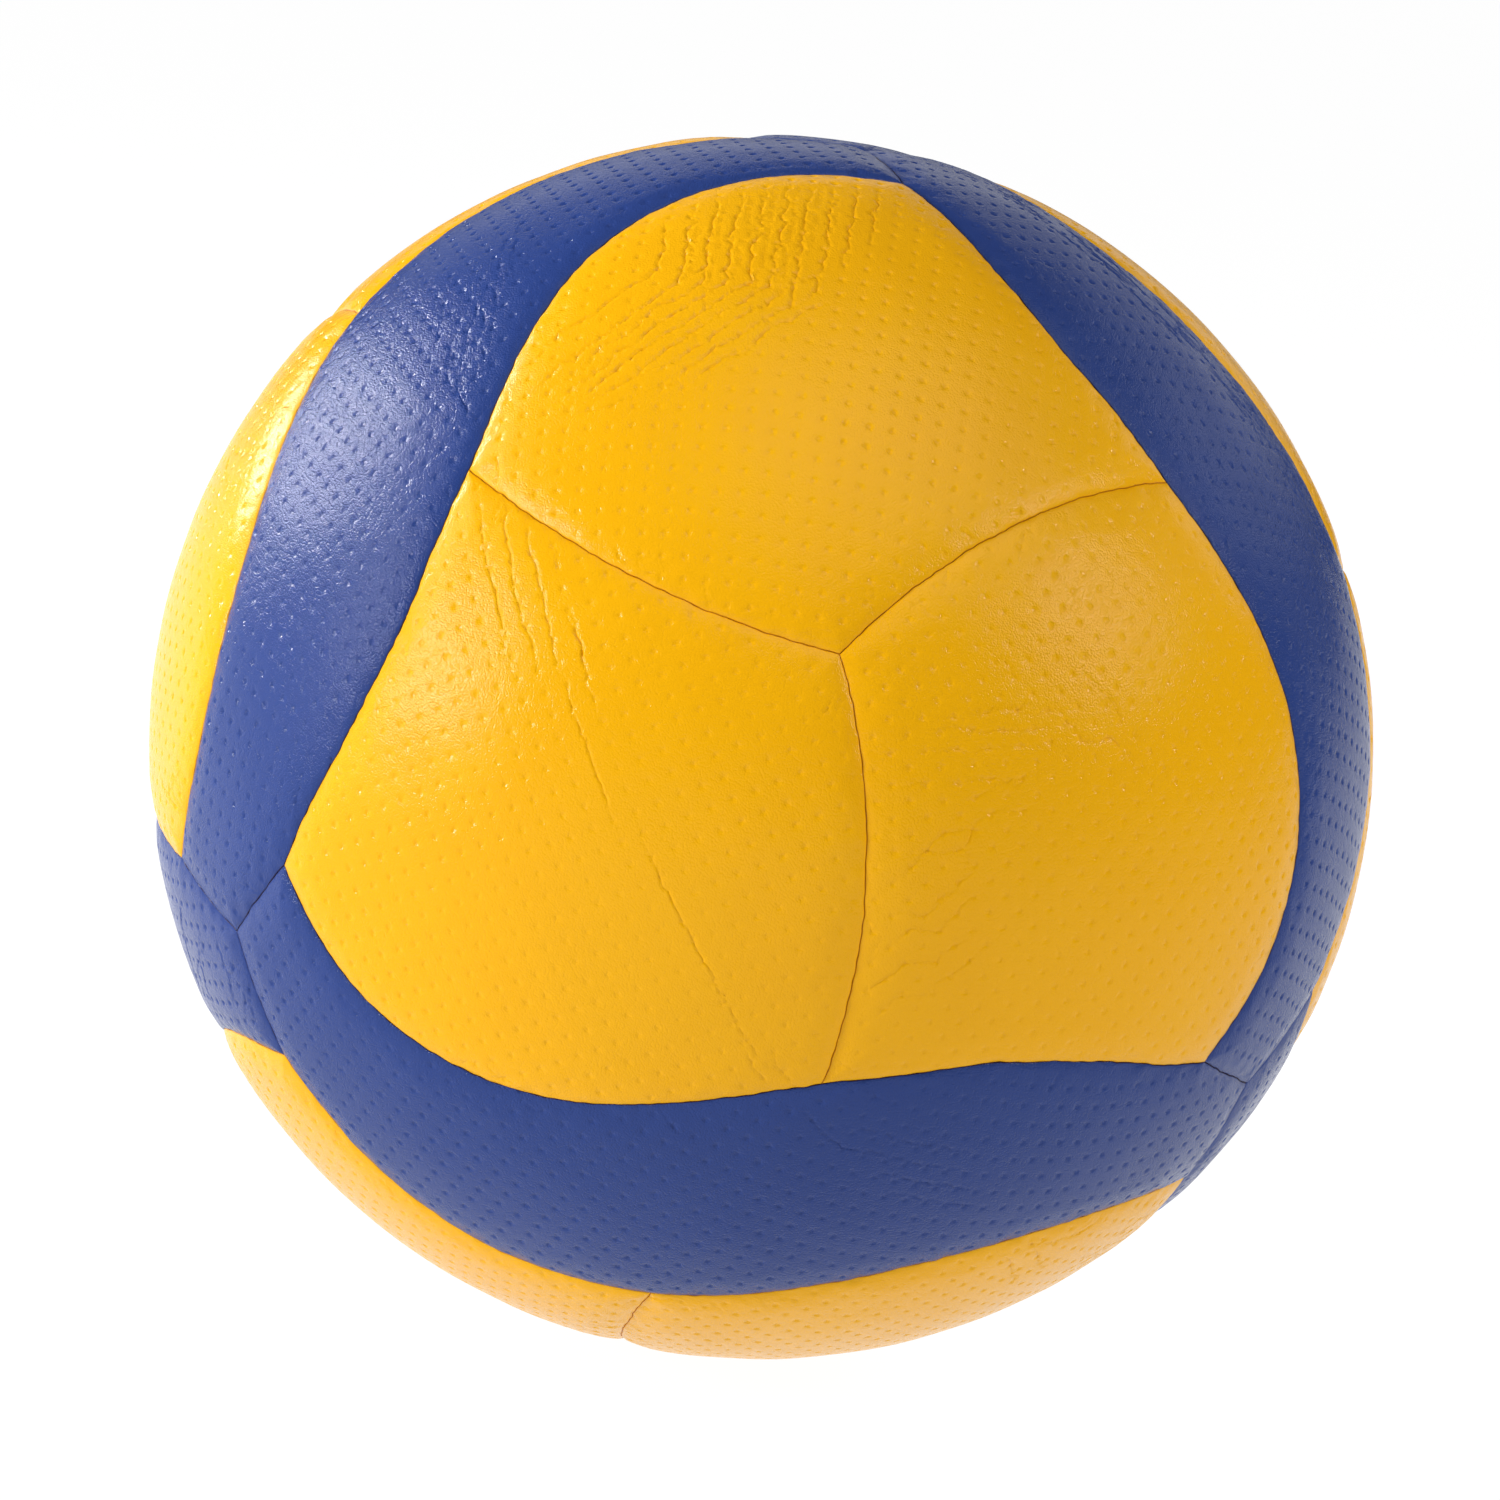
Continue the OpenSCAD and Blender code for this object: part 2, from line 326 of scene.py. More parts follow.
OUTLINE_FINENESS = 16
outlines = {
    "yellow": flatten("yellow", yellow_loop(OUTLINE_FINENESS)),
    "blue": flatten("blue", blue_loop(OUTLINE_FINENESS // 4 * 3)),
}
for kind, loop in outlines.items():
    step = np.linalg.norm(np.roll(loop, -1, 0) - loop, axis=1)
    print(kind, "outline", len(loop), "points,", round(step.sum(), 1), "mm round, step",
          step.min().round(2), step.max().round(2))

# %% [markdown]
# The cover's face is pressed with a square grid of small round dimples. They could be a bump in the
# material, but the light in the picture catches each one as a real pit, with a dark side and a
# bright side, so they are modelled. Ten rows of points per dimple row would leave a pit ragged, so
# the rows round each dimple are bent into rings: the rings are the pit's middle, wall and rim.

# %% Rows of points that bend round the dimples
PITCH = 3.76
ROWS = 10
LATTICE_TURN = math.radians(-16)
DIMPLE_AXES = np.array([[math.cos(LATTICE_TURN), math.sin(LATTICE_TURN)],
                        [-math.sin(LATTICE_TURN), math.cos(LATTICE_TURN)]])
RING_R = (0.0, 0.30, 0.56, 0.68)
OUTER_RING_R = 1.18
OUTER_RING_SHARE = 0.55
PIT_R = 0.63


def square_grid(marks):
    """Every place of a square grid whose rows and columns have the same marks."""
    return np.stack([a.ravel() for a in np.meshgrid(marks, marks)], -1)


def bent_rows(reach):
    """Points of a square of rows, bent round each dimple, in mm from a dimple in the middle."""
    half = math.ceil(reach / PITCH) * ROWS
    i, j = square_grid(np.arange(-half, half + 1)).T
    near = [np.round(a / ROWS) for a in (i, j)]
    u, v = i - near[0] * ROWS, j - near[1] * ROWS
    ring = np.maximum(abs(u), abs(v)).astype(int)
    steep = abs(u) >= abs(v)
    lean = np.where(steep, v / np.where(u == 0, 1, u), u / np.where(v == 0, 1, v)) * math.pi / 4
    main, side = np.cos(lean), np.sin(lean)
    sign = np.where(steep, np.sign(u), np.sign(v))
    round_x = np.where(steep, main, side) * sign
    round_y = np.where(steep, side, main) * sign
    spacing = PITCH / ROWS
    radius = np.array([*RING_R, OUTER_RING_R, 0])[ring]
    squareness = np.array([0, 0, 0, 0, 1 - OUTER_RING_SHARE, 1])[ring]
    x = near[0] * PITCH + round_x * radius * (1 - squareness) + u * spacing * squareness
    y = near[1] * PITCH + round_y * radius * (1 - squareness) + v * spacing * squareness
    return np.stack([x, y], -1)


def turned_rows(shift, reach):
    """The rows, turned as the dimples lie in a panel and moved by a share of their pitch."""
    return (bent_rows(reach) + np.array(shift) * PITCH) @ DIMPLE_AXES


def from_dimple(flat, shift):
    """Each flat place's distance from the nearest dimple, and that dimple's number in its rows."""
    rows = flat @ DIMPLE_AXES.T / PITCH - np.array(shift)
    nearest = np.round(rows)
    return np.linalg.norm(rows - nearest, axis=1) * PITCH, nearest


DIMPLE_SHIFT = {"yellow": (0.3, 0.1), "blue": (0.5, 0.5)}
print("points in a dimple's square", ROWS * ROWS)

# %% [markdown]
# Each flat sheet of points runs from the bent rows in the middle to the panel's edge. The edge gets
# rings of points that follow the outline, close together where it rounds over. Joining the two by
# hand would take many cases; a triangulation that keeps the outline as a fixed border does it.

# %% Flat sheets of points
EDGE_STEPS = (0.03, 0.10, 0.26, 0.60)
ROWS_FROM_EDGE = 0.95
BORDER_FINENESS = 8
KEEP_SHARE = 0.97
UNDER_STEP = 5.0
HOLE_R = 3.0
HOLE_RINGS = (0.08, 0.22, 0.45)
HOLE_POINTS = 56
HOLE_CLEARANCE = 0.15
CDT_EPSILON = 1e-7


def inward_of(loop):
    """The inward direction at each point of an outline, longer where it turns, as a mitre is."""
    along = unit(np.roll(loop, -1, 0) - loop)
    before = np.roll(along, 1, 0)
    inward = np.stack([-(along + before)[:, 1], (along + before)[:, 0]], -1)
    return inward / (1 + (along * before).sum(1))[:, None]


def edge_distance(flat, loop):
    """How far inside an outline each flat place is, in mm, and below zero outside it."""
    shares = steps(0, 1, BORDER_FINENESS)[:, None, None]
    dense = (loop + shares * (np.roll(loop, -1, 0) - loop)).transpose(1, 0, 2).reshape(-1, 2)
    tree = KDTree(len(dense))
    for i, (x, y) in enumerate(dense):
        tree.insert((x, y, 0), i)
    tree.balance()
    found = [tree.find((x, y, 0)) for x, y in flat]
    nearest = np.array([f[1] for f in found])
    away = flat - dense[nearest]
    inside = (away * inward_of(dense)[nearest]).sum(1) > 0
    return np.where(inside, 1, -1) * np.array([f[2] for f in found])


def inset(loop, distance):
    """An outline moved inwards, without the points that would cross over at its corners."""
    moved = loop + inward_of(loop) * distance
    return moved[edge_distance(moved, loop) > distance * KEEP_SHARE]


def hole_ring(radius):
    """Points on a circle round the flat map's heart."""
    a = steps(0, 2 * math.pi, HOLE_POINTS)
    return np.stack([np.cos(a), np.sin(a)], -1) * radius


def fixed_borders(outer, hole_r):
    """The points of a sheet's outer border and of its hole, and the borders as their numbers."""
    fixed, borders = [outer], [list(range(len(outer)))]
    if hole_r:
        fixed.append(hole_ring(hole_r))
        borders.append([len(outer) + i for i in range(HOLE_POINTS)])
    return fixed, borders


def triangulated(points, borders, hole_r):
    """Triangles between the points, inside the outer border and outside the hole."""
    found = delaunay_2d_cdt([Vector(p) for p in points], [], borders, 1, CDT_EPSILON)
    at_point = np.array([Vector(v) for v in found[0]])
    tri = np.array(found[2])
    if hole_r:
        tri = tri[np.linalg.norm(at_point[tri].mean(1), axis=1) > hole_r]
    return at_point, tri


def flat_sheet(kind, hole_r=0.0):
    """A panel's flat top and underside: points, triangles, and the border that the two share."""
    loop = outlines[kind]
    reach = np.linalg.norm(loop, axis=1).max()
    rings = [inset(loop, d) for d in EDGE_STEPS]
    rows = turned_rows(DIMPLE_SHIFT[kind], reach)
    rows = rows[edge_distance(rows, loop) > ROWS_FROM_EDGE]
    fixed, borders = fixed_borders(rings[0], hole_r)
    if hole_r:
        rows = rows[np.linalg.norm(rows, axis=1) > hole_r + HOLE_RINGS[-1] + HOLE_CLEARANCE]
        rings += [hole_ring(hole_r + extra) for extra in HOLE_RINGS]
    border_n = sum(len(f) for f in fixed)
    top, top_tri = triangulated(np.concatenate([*fixed, *rings[1:], rows]), borders, hole_r)
    under = square_grid(np.arange(-reach, reach, UNDER_STEP))
    under = under[edge_distance(under, loop) > UNDER_STEP / 2]
    if hole_r:
        under = under[np.linalg.norm(under, axis=1) > hole_r + UNDER_STEP / 2]
    low, low_tri = triangulated(np.concatenate([*fixed, under]), borders, hole_r)
    print(kind, "sheet:", len(top), "points,", len(top_tri), "triangles on top")
    return {"kind": kind, "top": top, "top_tri": top_tri, "low": low, "low_tri": low_tri,
            "borders": borders, "border_n": border_n, "hole_r": hole_r,
            "edge": edge_distance(top, loop)}


sheets = {
    "yellow": flat_sheet("yellow"),
    "blue": flat_sheet("blue"),
    "valve": flat_sheet("blue", HOLE_R),
}

# %% [markdown]
# Real leather is never quite even. Random numbers for every point would give noise without any
# shape, so the unevenness here is a sum of a few long waves with random directions. The waves run
# through the whole ball, so two panels that meet agree about them, and a seed keeps them the same
# on every run.


# %% Waves for gentle unevenness
def waves(directions, wavelength, seed, count=20):
    """A seeded unevenness over the ball, about 1 high, with a given wavelength in mm."""
    rng = np.random.default_rng(seed)
    turns = unit(rng.normal(size=(count, 3))) * rng.uniform(0.75, 1.4, (count, 1))
    phase = rng.uniform(0, 2 * math.pi, count)
    along = directions @ (turns * 2 * math.pi * BALL_R / wavelength).T
    return np.sin(along + phase).sum(1) * math.sqrt(2 / count)


WANDERS = ((9, 0.05), (2.8, 0.045))


def wander(directions):
    """Directions moved a little sideways, so that every seam wanders as a glued seam does."""
    push = sum(np.stack([waves(directions, length, seed) for seed in (11, 12, 13)], -1) * size
               for length, size in WANDERS)
    push -= (push * directions).sum(1)[:, None] * directions
    return unit(directions + push / BALL_R)


print("unevenness sample", waves(at(np.array([0.0, 40.0]), np.array([30.0, 60.0])), 20, 1).round(2))

# %% [markdown]
# Creases show where the cover was bent. On the panels that the picture shows, each crease follows
# a few places read off the picture, which are carried through the camera onto the ball. That is
# less work than measuring on the ball, and it puts the crease where the eye compares it. Where a
# crease runs from dimple to dimple, it is written as a first dimple and steps in the dimples' rows.

# %% Creases in the picture
CREASES_PX = {
    "front_1": {
        "long": [
            [(481, 499), (481, 545), (487, 564), (495, 590), (502, 627), (504, 654), (514, 680)],
            [(497, 487), (508, 510), (504, 525), (510, 558), (516, 598), (533, 648), (537, 680)],
            [(525, 514), (529, 552), (537, 571), (544, 596), (546, 623), (554, 648), (563, 680)],
            [(564, 671), (573, 715), (585, 740), (598, 778), (608, 810), (615, 830)],
            [(636, 812), (642, 837), (671, 900), (720, 990), (760, 1060), (800, 1085)],
            [(571, 611), (579, 642), (583, 663), (587, 684), (596, 707)],
        ],
        "fine": [
            [(565, 608), (573, 625), (581, 648), (585, 680)],
            [(744, 1052), (757, 1073), (770, 1086)],
            [(767, 1050), (782, 1075), (796, 1089)],
            [(836, 690), (828, 706), (815, 722)],
        ],
    },
    "front_2": {
        "long": [
            [(1039, 696), (1056, 709), (1071, 725), (1085, 744), (1110, 738), (1129, 757),
             (1148, 772), (1163, 793)],
            [(962, 715), (995, 707), (1020, 707), (1039, 696)],
            [(1081, 660), (1085, 675), (1102, 692), (1115, 707), (1129, 723)],
            [(926, 728), (957, 727), (983, 732), (1014, 730), (1062, 727)],
        ],
        "fine": [
            [(995, 650), (1004, 661), (1022, 679)],
            [(897, 788), (915, 785), (934, 782)],
            [(953, 803), (972, 801), (999, 786), (1031, 774), (1062, 766)],
            [(972, 822), (970, 851), (966, 876)],
            [(872, 668), (884, 676), (900, 680)],
        ],
    },
    "front_3": {
        "long": [
            [(702, 208), (702, 229), (690, 247), (692, 275), (675, 281), (667, 289)],
            [(728, 195), (721, 218), (719, 245), (707, 285), (703, 310), (696, 333), (698, 354)],
            [(753, 187), (749, 208), (749, 233), (738, 247), (740, 262), (732, 273), (730, 289)],
            [(780, 180), (774, 199), (767, 237), (763, 266), (755, 273), (755, 294), (749, 319)],
            [(803, 181), (795, 199), (791, 237), (784, 243), (788, 260), (780, 283), (776, 308)],
        ],
        "fine": [
            [(824, 181), (822, 195), (813, 225), (814, 241), (807, 258)],
            [(841, 208), (832, 231), (830, 243)],
            [(648, 344), (625, 363), (598, 382), (571, 392)],
            [(675, 361), (646, 371), (614, 388), (566, 409)],
            [(697, 361), (667, 380), (642, 392), (608, 405), (560, 419)],
            [(496, 405), (494, 428), (485, 437), (476, 452)],
        ],
    },
    "upper_left": {
        "long": [
            [(476, 298), (478, 307), (472, 326), (462, 351), (460, 380), (464, 401), (474, 420)],
            [(463, 318), (452, 340), (447, 366), (450, 392)],
        ],
        "fine": [
            [(481, 342), (483, 357), (481, 380)],
            [(508, 236), (502, 252), (500, 268), (503, 284), (496, 300)],
            [(446, 300), (440, 330), (436, 352)],
            [(500, 262), (495, 290), (497, 308), (490, 335), (494, 352), (486, 374)],
            [(487, 286), (481, 304), (484, 326), (474, 352), (478, 376), (472, 398)],
            [(458, 328), (453, 352), (456, 374), (461, 396), (470, 418), (472, 436)],
            [(520, 222), (516, 240), (511, 262), (513, 280)],
        ],
    },
    "lower_front": {
        "long": [
            [(794, 1098), (803, 1113), (822, 1134), (842, 1148), (868, 1151), (912, 1163),
             (937, 1166), (968, 1171)],
            [(834, 1121), (847, 1127), (863, 1129), (886, 1135), (907, 1142), (943, 1149),
             (983, 1154)],
            [(863, 1169), (884, 1174), (905, 1179), (947, 1186), (983, 1190)],
        ],
        "fine": [
            [(872, 1190), (895, 1194), (916, 1198), (937, 1202), (987, 1206)],
        ],
    },
    "upper_right": {
        "long": [],
        "fine": [
            [(1062, 214), (1070, 228), (1074, 244)],
            [(1085, 222), (1096, 240), (1100, 258)],
            [(1112, 238), (1122, 254), (1130, 276)],
            [(1142, 262), (1150, 280), (1155, 298)],
            [(1176, 292), (1181, 309), (1190, 324)],
            [(1206, 322), (1212, 342), (1222, 356)],
        ],
    },
}


# A dimple's numbers count rows, and these moves lead to the next dimple along a crease.
DOWN, SLANT, RIGHT, RISE = (-1, 0), (-1, 1), (1, 1), (0, 1)
DIMPLE_CREASES = {
    "front_3": ("row", [
        ((12, -3), [(DOWN, 6)]), ((12, -2), [(DOWN, 8)]), ((12, -1), [(DOWN, 9), (SLANT, 2)]),
        ((12, 0), [(DOWN, 10), (SLANT, 7)]), ((12, 1), [(DOWN, 9), (SLANT, 8)]),
        ((12, 2), [(DOWN, 9), (SLANT, 8)]), ((11, 3), [(DOWN, 8), (SLANT, 8)]),
        ((11, 4), [(DOWN, 8), (SLANT, 7)]), ((10, 5), [(DOWN, 7), (SLANT, 7)]),
        ((8, 6), [(DOWN, 4), (SLANT, 6)]), ((5, -2), [(SLANT, 8)]), ((3, -2), [(SLANT, 7)]),
    ]),
    "front_2": ("fine", [
        ((-10, -4), [(RIGHT, 6)]), ((-9, -5), [(RIGHT, 5)]), ((-8, -6), [(RIGHT, 3), (RISE, 1)]),
        ((-7, -9), [(RIGHT, 2), (RISE, 2), (RIGHT, 2)]), ((-6, -10), [(RISE, 3), (RIGHT, 2)]),
        ((-5, -11), [(RIGHT, 1), (RISE, 4)]), ((-4, -12), [(RISE, 1), (RIGHT, 1), (RISE, 3)]),
        ((-3, -14), [(RISE, 2), (RIGHT, 1), (RISE, 3)]),
        ((-2, -15), [(RISE, 2), (RIGHT, 1), (RISE, 4)]),
    ]),
}


def through_camera(pixels):
    """Directions from the ball's centre to where the camera sees each pixel on the ball."""
    pixels = np.array(pixels, float)
    sideways = (pixels[:, :1] - PHOTO_SIDE / 2) / FOCAL_PX * view_right
    upwards = (PHOTO_SIDE / 2 - pixels[:, 1:]) / FOCAL_PX * view_up
    ray = unit(sideways + upwards - view_back)
    middle = -(ray @ view_place)
    half_chord = middle**2 - view_place @ view_place + (BALL_R * MM) ** 2
    return unit(view_place + ray * (middle - np.sqrt(np.maximum(half_chord, 0)))[:, None])


print("the picture's middle faces", through_camera([BALL_CENTRE_PX])[0].round(3))

# %% [markdown]
# Panels that the picture doesn't show have been bent as well. Their creases start near an edge and
# wander inwards in small fans, each from its own seed, so no two panels look alike. The short
# puckers along every seam and the broken wrinkles along one rim are seeded in the same way.


# %% Creases elsewhere
FANS = 3
LONG_SHARE = 0.4
PUCKERS = 22
HOP = 0.5
WANDER_STEP, WANDER_TURN = 2, 0.16
FAN_SEED, PUCKER_SEED, RIM_SEED, HOP_SEED = 300, 400, 500, 600
RIM_ROW_GAP = 1.25
RIM_SHARES = {"upper_right": (0.25, 0.44, 11)}


def wandering(rng, start, heading, length):
    """A crease route that leaves a place in a direction and turns a little as it goes."""
    count = max(3, round(length / WANDER_STEP))
    headings = heading + np.cumsum(rng.normal(0, WANDER_TURN, count))
    moves = np.stack([np.cos(headings), np.sin(headings)], -1) * WANDER_STEP
    return start + np.concatenate([np.zeros((1, 2)), np.cumsum(moves, 0)])


def seeded_creases(kind, seed):
    """Fans of creases for a panel that the picture doesn't show."""
    rng = np.random.default_rng(seed)
    loop, inward = outlines[kind], inward_of(outlines[kind])
    creases = []
    for _ in range(FANS):
        i = rng.integers(len(loop))
        start = loop[i] + inward[i] * rng.uniform(2, 4)
        heading = math.atan2(*inward[i][::-1]) + rng.uniform(-0.6, 0.6)
        across = np.array([-math.sin(heading), math.cos(heading)])
        for line in range(rng.integers(3, 6)):
            begin = start + across * (line * rng.uniform(2.6, 4.2))
            depth = "long" if rng.random() < LONG_SHARE else "fine"
            turn = heading + rng.normal(0, 0.12)
            creases.append((depth, wandering(rng, begin, turn, rng.uniform(9, 26))))
    return creases


def seam_puckers(kind, seed):
    """Short creases that leave a panel's edge at a slant, where the glued seam drew it in."""
    rng = np.random.default_rng(seed)
    loop, inward = outlines[kind], inward_of(outlines[kind])
    puckers = []
    for i in rng.integers(0, len(loop), PUCKERS):
        heading = math.atan2(*inward[i][::-1]) + rng.choice([-1, 1]) * rng.uniform(0.3, 1.3)
        start = loop[i] + inward[i] * rng.uniform(0, 0.8)
        puckers.append(("pucker", wandering(rng, start, heading, rng.uniform(2, 6))))
    return puckers


def dimple_creases(kind, seed, depth, lines):
    """Creases that pass from dimple to dimple, each by steps from a first dimple's numbers."""
    rng = np.random.default_rng(seed)
    creases = []
    for start, legs in lines:
        numbers = [np.array(start, float)]
        for move, count in legs:
            numbers += [numbers[-1] + np.array(move) * k for k in range(1, count + 1)]
        halfway = [(a + b) / 2 for a, b in zip(numbers, numbers[1:])]
        path = np.array([n for pair in zip(numbers, halfway) for n in pair])
        route = (path + np.array(DIMPLE_SHIFT[kind])) * PITCH @ DIMPLE_AXES
        creases.append((depth, route + rng.normal(0, HOP, route.shape)))
    return creases


def rim_wrinkles(kind, seed, first, last, rows):
    """Broken wrinkles that run along a share of a panel's outline, row behind row."""
    rng = np.random.default_rng(seed)
    loop, inward = outlines[kind], inward_of(outlines[kind])
    wrinkles = []
    for row in range(rows):
        i, end = round(first * len(loop)), round(last * len(loop))
        i += rng.integers(0, 12)
        while i < end:
            run = rng.integers(10, 30)
            span = slice(i, min(i + run, end))
            away = 1.2 + row * RIM_ROW_GAP + rng.uniform(-0.3, 0.3)
            if span.stop - span.start > 5:
                wrinkles.append(("rim", loop[span] + inward[span] * away))
            i += run + rng.integers(2, 12)
    return wrinkles


def creases_of(name, kind, place, seed):
    """Every crease of a panel, as its depth's name and its route on the panel's flat map."""
    if name not in CREASES_PX:
        return seeded_creases(kind, FAN_SEED + seed) + seam_puckers(kind, PUCKER_SEED + seed)
    seen = [(depth, flatten(kind, through_camera(route) @ place))
            for depth, routes in CREASES_PX[name].items() for route in routes]
    seen += dimple_creases(kind, HOP_SEED + seed, *DIMPLE_CREASES.get(name, ("fine", [])))
    if name in RIM_SHARES:
        seen += rim_wrinkles(kind, RIM_SEED + seed, *RIM_SHARES[name])
    return seen + seam_puckers(kind, PUCKER_SEED + seed)


print("creases read from the picture", sum(len(r) for c in CREASES_PX.values() for r in c.values()))

# %% [markdown]
# A crease isn't a clean line. It hops from dimple to dimple, because the leather is thinnest there,
# and it is deepest in its middle. Each route is cut into short pieces, pushed about a little and
# drawn to the dimples beside it. The sheet's own points beside the route are then moved onto it, so
# that its bottom is one sharp line, and its groove has a low swell on both sides.

# %% Shape of a crease
CREASE_DEPTH = {"long": 0.21, "row": 0.25, "fine": 0.16, "pucker": 0.13, "rim": 0.20}
CREASE_WIDTH = {"long": 0.19, "row": 0.20, "fine": 0.19, "pucker": 0.24, "rim": 0.28}
CREASE_STEP = 0.95
CREASE_JITTER = 0.19
ROUTE_STEP = 0.1
DIMPLE_PULL, PULL_LIMIT = 1.1, 0.35
SWELL, SWELL_WIDTH = 0.25, 2.3
TAPER_RATE, END_SHARE = 5, 0.1
DRAW_REACH = 0.19
DIMPLE_KEEP = 0.8


def resampled(route, step):
    """The same route with points at even steps."""
    lengths = np.concatenate([[0], np.cumsum(np.linalg.norm(np.diff(route, axis=0), axis=1))])
    marks = np.linspace(0, lengths[-1], max(4, round(lengths[-1] / step)))
    return np.stack([np.interp(marks, lengths, route[:, k]) for k in (0, 1)], -1)


def nearest_dimple(flat, shift):
    """The place of the dimple nearest to each flat place."""
    return (from_dimple(flat, shift)[1] + np.array(shift)) * PITCH @ DIMPLE_AXES


def crinkled(route, shift, rng):
    """A route that hops between the dimples beside it."""
    route = resampled(route, CREASE_STEP)
    route = route + rng.normal(0, CREASE_JITTER, route.shape)
    dimple = nearest_dimple(route, shift)
    pull = np.clip(1 - np.linalg.norm(route - dimple, axis=1) / DIMPLE_PULL, 0, PULL_LIMIT)
    return resampled(route + (dimple - route) * pull[:, None], ROUTE_STEP)


def beside(flat, route, reach):
    """The places near a route, where the route is nearest to each, and its share of the way."""
    low, high = route.min(0) - reach, route.max(0) + reach
    near = ((flat > low) & (flat < high)).all(1).nonzero()[0]
    closest = np.linalg.norm(flat[near][:, None] - route, axis=2).argmin(1)
    return near, route[closest], closest / (len(route) - 1)


def drawn_to(flat, route, shift):
    """The sheet's points, with those beside a crease moved onto its line."""
    near, onto, _ = beside(flat, route, DRAW_REACH)
    away = np.linalg.norm(flat[near] - onto, axis=1)
    free = (away < DRAW_REACH) & (from_dimple(flat[near], shift)[0] > DIMPLE_KEEP)
    flat = flat.copy()
    flat[near[free]] = onto[free]
    return flat


def groove(flat, route, width):
    """How deep a crease is at each flat place, from 0 to 1, and below 0 in its swell."""
    near, onto, share = beside(flat, route, 4 * width)
    distance = np.linalg.norm(flat[near] - onto, axis=1) / width
    taper = np.clip(np.minimum(share, 1 - share) * TAPER_RATE, END_SHARE, 1)
    swell = SWELL * np.exp(-((distance / SWELL_WIDTH) ** 2))
    pressed = np.zeros(len(flat))
    pressed[near] = taper * (np.exp(-distance**2) - swell)
    return pressed


print("crease depths in mm", CREASE_DEPTH)

# %% [markdown]
# A panel's height at each point is the sum of what was done to the leather: drawn down gently
# towards the glued seam and rounded over just beside it, pressed with dimples, bent into creases,
# and never quite even. The dimples fade out beside an edge, where the leather was pared thin, and
# they are shallower in a patch on the front that play has worn.

# %% Height of the cover
DIMPLE_DEPTH = 0.19
DIMPLE_UNEVEN, DIMPLE_WAVE = 0.1, 30
DIMPLE_STARTS = (0.7, 1.8)
HOLE_STARTS = (1.2, 1.8)
FACE_LEVEL = -0.07
UNDULATION, UNDULATION_WAVE = 0.035, 16
EDGE_FALLS = ((7.5, 0.72), (2.2, 0.20))
EDGE_ROUND = 0.5
EDGE_DROP = 0.14
LIP, LIP_WAVE = 0.04, 3.5
LIP_REACH = 1.2
WORN_PX = (640, 900)
WORN_REACH = 34
WORN_SHARE = 0.55
PUCKER, PUCKER_WAVE = 0.06, 5.0
PUCKER_REACH = 4.0


def fade(value, first, last):
    """0 up to the first value, 1 from the last one, and a smooth change between."""
    share = np.clip((value - first) / (last - first), 0, 1)
    return share * share * (3 - 2 * share)


def dimple_share(sheet, flat, directions, seed):
    """How far each point is pressed into a dimple, from 0 to 1."""
    distance, _ = from_dimple(flat, DIMPLE_SHIFT[sheet["kind"]])
    bowl = np.clip(1 - (distance / PIT_R) ** 2, 0, 1)
    even = (1 - DIMPLE_UNEVEN) + DIMPLE_UNEVEN * waves(directions, DIMPLE_WAVE, seed)
    from_worn = np.linalg.norm(directions - through_camera([WORN_PX]), axis=1) * BALL_R
    unworn = 1 - WORN_SHARE * np.exp(-(from_worn / WORN_REACH) ** 2)
    return bowl * fade(edge_of_dimples(sheet), *DIMPLE_STARTS) * even * unworn


def edge_of_dimples(sheet):
    """How far inside the panel the nearest dimple's middle is, for each point of the sheet."""
    if "dimple_edge" not in sheet:
        middle = nearest_dimple(sheet["top"], DIMPLE_SHIFT[sheet["kind"]])
        inside = edge_distance(middle, outlines[sheet["kind"]])
        if sheet["hole_r"]:
            from_hole = np.linalg.norm(middle, axis=1) - sheet["hole_r"]
            inside = np.minimum(inside, fade(from_hole, *HOLE_STARTS) * DIMPLE_STARTS[1])
        sheet["dimple_edge"] = inside
    return sheet["dimple_edge"]


def edge_fall(sheet):
    """How far the cover drops towards its edges, in mm."""
    edge = sheet["edge"]
    if sheet["hole_r"]:
        from_hole = np.linalg.norm(sheet["top"], axis=1) - sheet["hole_r"]
        edge = np.minimum(edge, from_hole + EDGE_STEPS[1])
    fall = sum(drop * np.clip(1 - edge / reach, 0, 1) ** 2 for reach, drop in EDGE_FALLS)
    inward = np.clip(1 - edge / EDGE_ROUND, 0, 1)
    return fall + EDGE_DROP * (1 - np.sqrt(1 - inward**2))


def cover_height(sheet, flat, directions, creases, seed):
    """The cover's height over the ball's own radius in mm, and the creases in it."""
    edge = sheet["edge"]
    dimples = dimple_share(sheet, flat, directions, seed)
    bends = sum(CREASE_DEPTH[depth] * groove(flat, route, CREASE_WIDTH[depth])
                for depth, route in creases) * fade(edge, 0, 0.7)
    seam_pull = PUCKER * np.exp(-edge / PUCKER_REACH) * waves(directions, PUCKER_WAVE, 21)
    level = FACE_LEVEL + UNDULATION * waves(directions, UNDULATION_WAVE, 22) * fade(edge, 0, 3)
    lip = LIP * np.exp(-edge / LIP_REACH) * waves(directions, LIP_WAVE, seed + 50)
    height = level + seam_pull * fade(edge, 0.1, 1.2) + lip - edge_fall(sheet)
    height -= DIMPLE_DEPTH * dimples + bends
    return np.minimum(height, 0), bends


print("dimples are pressed in by", DIMPLE_DEPTH, "mm")

# %% [markdown]
# A material's maths reads best as plain arithmetic. This small class wraps one output of a node, so
# that an expression such as 1 - mask adds the nodes that work it out. Every other node comes from
# one method, which takes its type, its settings and what feeds its sockets.


